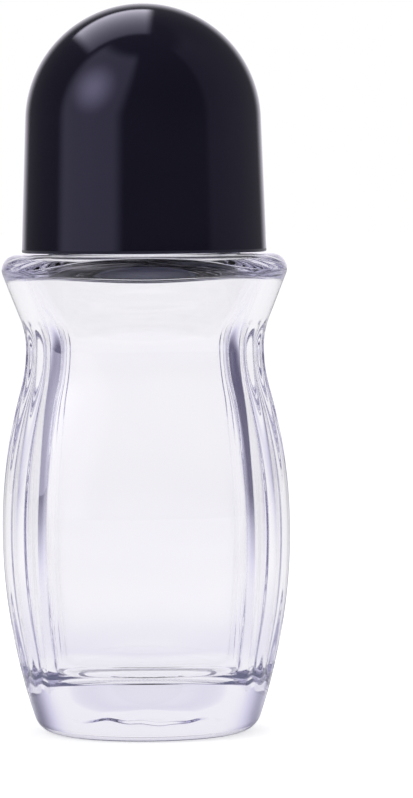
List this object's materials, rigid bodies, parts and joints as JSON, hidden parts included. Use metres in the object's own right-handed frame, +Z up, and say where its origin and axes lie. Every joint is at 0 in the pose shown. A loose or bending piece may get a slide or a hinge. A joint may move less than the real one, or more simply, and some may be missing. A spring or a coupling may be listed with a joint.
{
  "type": "roll on bottle",
  "caption": "Clear glass roll on bottle with a barrel belly, waist and fluted sides, a free rolling ball in a neck housing, and a domed screw cap with a liner.",
  "frame": {"origin": "centre of the plane that the foot rests on", "axes": "+Z up along the bottle's axis, -Y the way the plain front panel faces, +X to the viewer's right when looking at that panel"},
  "size_m": [0.046, 0.0454, 0.116],
  "materials": {
    "clear_glass": "clear flint glass, fire polished, with a very faint lilac tone",
    "housing_plastic": "natural moulded plastic, satin",
    "ball_plastic": "polished white plastic",
    "liner_plastic": "black moulded plastic, satin",
    "cap_gloss": "high gloss blue black moulded plastic"
  },
  "bodies": {
    "bottle": {"glass_bottle": "clear_glass", "ball_housing": "housing_plastic"},
    "ball": {"roller_ball": "ball_plastic"},
    "cap": {"inner_cap": "liner_plastic", "outer_cap": "cap_gloss"}
  },
  "joints": [
    {"name": "ball_roll", "type": "hinge", "parent": "bottle", "child": "ball", "pos_m": [0, 0, 0.0968], "axis": [1, 0, 0], "continuous": true},
    {"name": "cap_lift", "type": "slide", "parent": "bottle", "child": "cap", "axis": [0, 0, 1], "range_m": [0, 0.045]}
  ]
}
